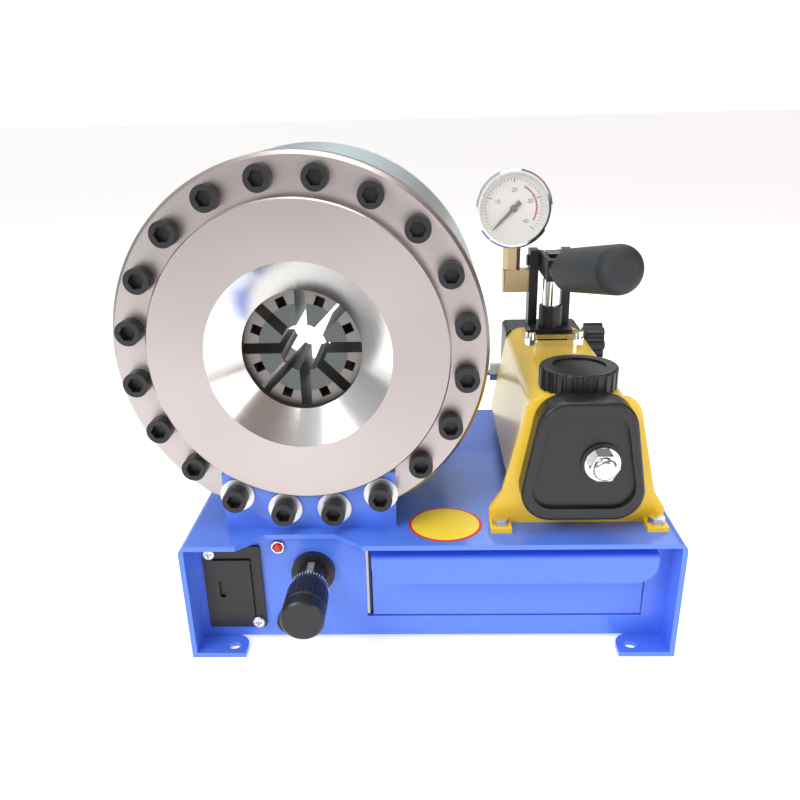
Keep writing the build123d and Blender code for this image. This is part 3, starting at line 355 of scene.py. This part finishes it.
# studio
floorMat = bpy.data.materials.new("floorPale")
floorMat.use_nodes = True
floorShader = floorMat.node_tree.nodes["Principled BSDF"]
floorShader.inputs["Base Color"].default_value = (0.95, 0.95, 0.95, 1)
floorShader.inputs["Emission Color"].default_value = (1, 1, 1, 1)
floorShader.inputs["Emission Strength"].default_value = 0.55
floorShader.inputs["Roughness"].default_value = 0.6
bpy.ops.object.select_all(action="DESELECT")
bpy.ops.mesh.primitive_plane_add(size=80, location=(0, 0, -0.0006))
floor = bpy.context.view_layer.objects.active
floor.name = "floor"
floor.data.materials.append(floorMat)

world = bpy.data.worlds.new("studio")
bpy.context.scene.world = world
world.use_nodes = True
wt = world.node_tree
wt.nodes.clear()
worldOut = wt.nodes.new("ShaderNodeOutputWorld")
mix = wt.nodes.new("ShaderNodeMixShader")
white = wt.nodes.new("ShaderNodeBackground")
white.inputs["Color"].default_value = (1, 1, 1, 1)
white.inputs["Strength"].default_value = 1.0
soft = wt.nodes.new("ShaderNodeBackground")
soft.inputs["Strength"].default_value = 0.62
ray = wt.nodes.new("ShaderNodeLightPath")
skyCoord = wt.nodes.new("ShaderNodeTexCoord")
skyRamp = wt.nodes.new("ShaderNodeValToRGB")
skySplit = wt.nodes.new("ShaderNodeSeparateXYZ")
skyRamp.color_ramp.elements[0].position = 0.25
skyRamp.color_ramp.elements[0].color = (0.30, 0.31, 0.33, 1)
skyRamp.color_ramp.elements[1].position = 0.85
skyRamp.color_ramp.elements[1].color = (1, 1, 1, 1)
half = wt.nodes.new("ShaderNodeMapRange")
half.inputs["From Min"].default_value = -1
link(wt, skyCoord.outputs["Generated"], skySplit.inputs[0])
link(wt, skySplit.outputs["Z"], half.inputs["Value"])
link(wt, half.outputs["Result"], skyRamp.inputs["Fac"])
sideRamp = wt.nodes.new("ShaderNodeValToRGB")
sideRamp.color_ramp.elements[0].position = 0.36
sideRamp.color_ramp.elements[0].color = (1, 1, 1, 1)
sideRamp.color_ramp.elements[1].position = 0.66
sideRamp.color_ramp.elements[1].color = (0.50, 0.41, 0.39, 1)
sideHalf = wt.nodes.new("ShaderNodeMapRange")
sideHalf.inputs["From Min"].default_value = -1
tint = wt.nodes.new("ShaderNodeMix")
tint.data_type = "RGBA"
tint.blend_type = "MULTIPLY"
tint.inputs[0].default_value = 1.0
link(wt, skySplit.outputs["X"], sideHalf.inputs["Value"])
link(wt, sideHalf.outputs["Result"], sideRamp.inputs["Fac"])
link(wt, skyRamp.outputs["Color"], tint.inputs[6])
link(wt, sideRamp.outputs["Color"], tint.inputs[7])
link(wt, tint.outputs[2], soft.inputs["Color"])
link(wt, ray.outputs["Is Camera Ray"], mix.inputs["Fac"])
link(wt, soft.outputs["Background"], mix.inputs[1])
link(wt, white.outputs["Background"], mix.inputs[2])
link(wt, mix.outputs["Shader"], worldOut.inputs["Surface"])

lights = (
    ("keyLight", (-1.1, -1.2, 1.3), 0.9, 17, (1, 1, 1)),
    ("fillLight", (1.3, -1.2, 0.7), 0.8, 8, (1, 0.86, 0.82)),
    ("rimLight", (0.3, 1.3, 1.5), 1.2, 12, (0.9, 0.98, 1)),
    ("topLight", (0.1, -0.3, 1.8), 0.9, 10, (1, 1, 1)),
)
for name, where, size, power, tint in lights:
    data = bpy.data.lights.new(name, "AREA")
    data.size = size
    data.energy = power
    data.color = tint
    lamp = bpy.data.objects.new(name, data)
    bpy.context.scene.collection.objects.link(lamp)
    lamp.location = where
    lamp.rotation_euler = (Vector((-0.05, 0, 0.18)) - Vector(where)).to_track_quat("-Z", "Y").to_euler()

cameraView = dict(x=-0.003, y=-0.684, z=0.395, yaw=-2.15, pitch=24.3, roll=1.43, lens=36.9,
                  shiftX=0.003, shiftY=0.10)
yaw, pitch, roll = (math.radians(cameraView[k]) for k in ("yaw", "pitch", "roll"))
forward = Vector((math.sin(yaw) * math.cos(pitch), math.cos(yaw) * math.cos(pitch), -math.sin(pitch)))
right = forward.cross(Vector((0, 0, 1))).normalized()
up = right.cross(forward)
rightTurned = right * math.cos(roll) - up * math.sin(roll)
upTurned = up * math.cos(roll) + right * math.sin(roll)
cameraData = bpy.data.cameras.new("photoCamera")
cameraData.lens = cameraView["lens"]
cameraData.sensor_width = 36
cameraData.shift_x = cameraView["shiftX"]
cameraData.shift_y = cameraView["shiftY"]
cameraData.clip_start = 0.01
camera = bpy.data.objects.new("photoCamera", cameraData)
bpy.context.scene.collection.objects.link(camera)
turn = Matrix((rightTurned, upTurned, -forward)).transposed().to_4x4()
camera.matrix_world = Matrix.Translation((cameraView["x"], cameraView["y"], cameraView["z"])) @ turn
bpy.context.scene.camera = camera
bpy.context.scene.view_settings.view_transform = "Standard"
print("stage: studio set")
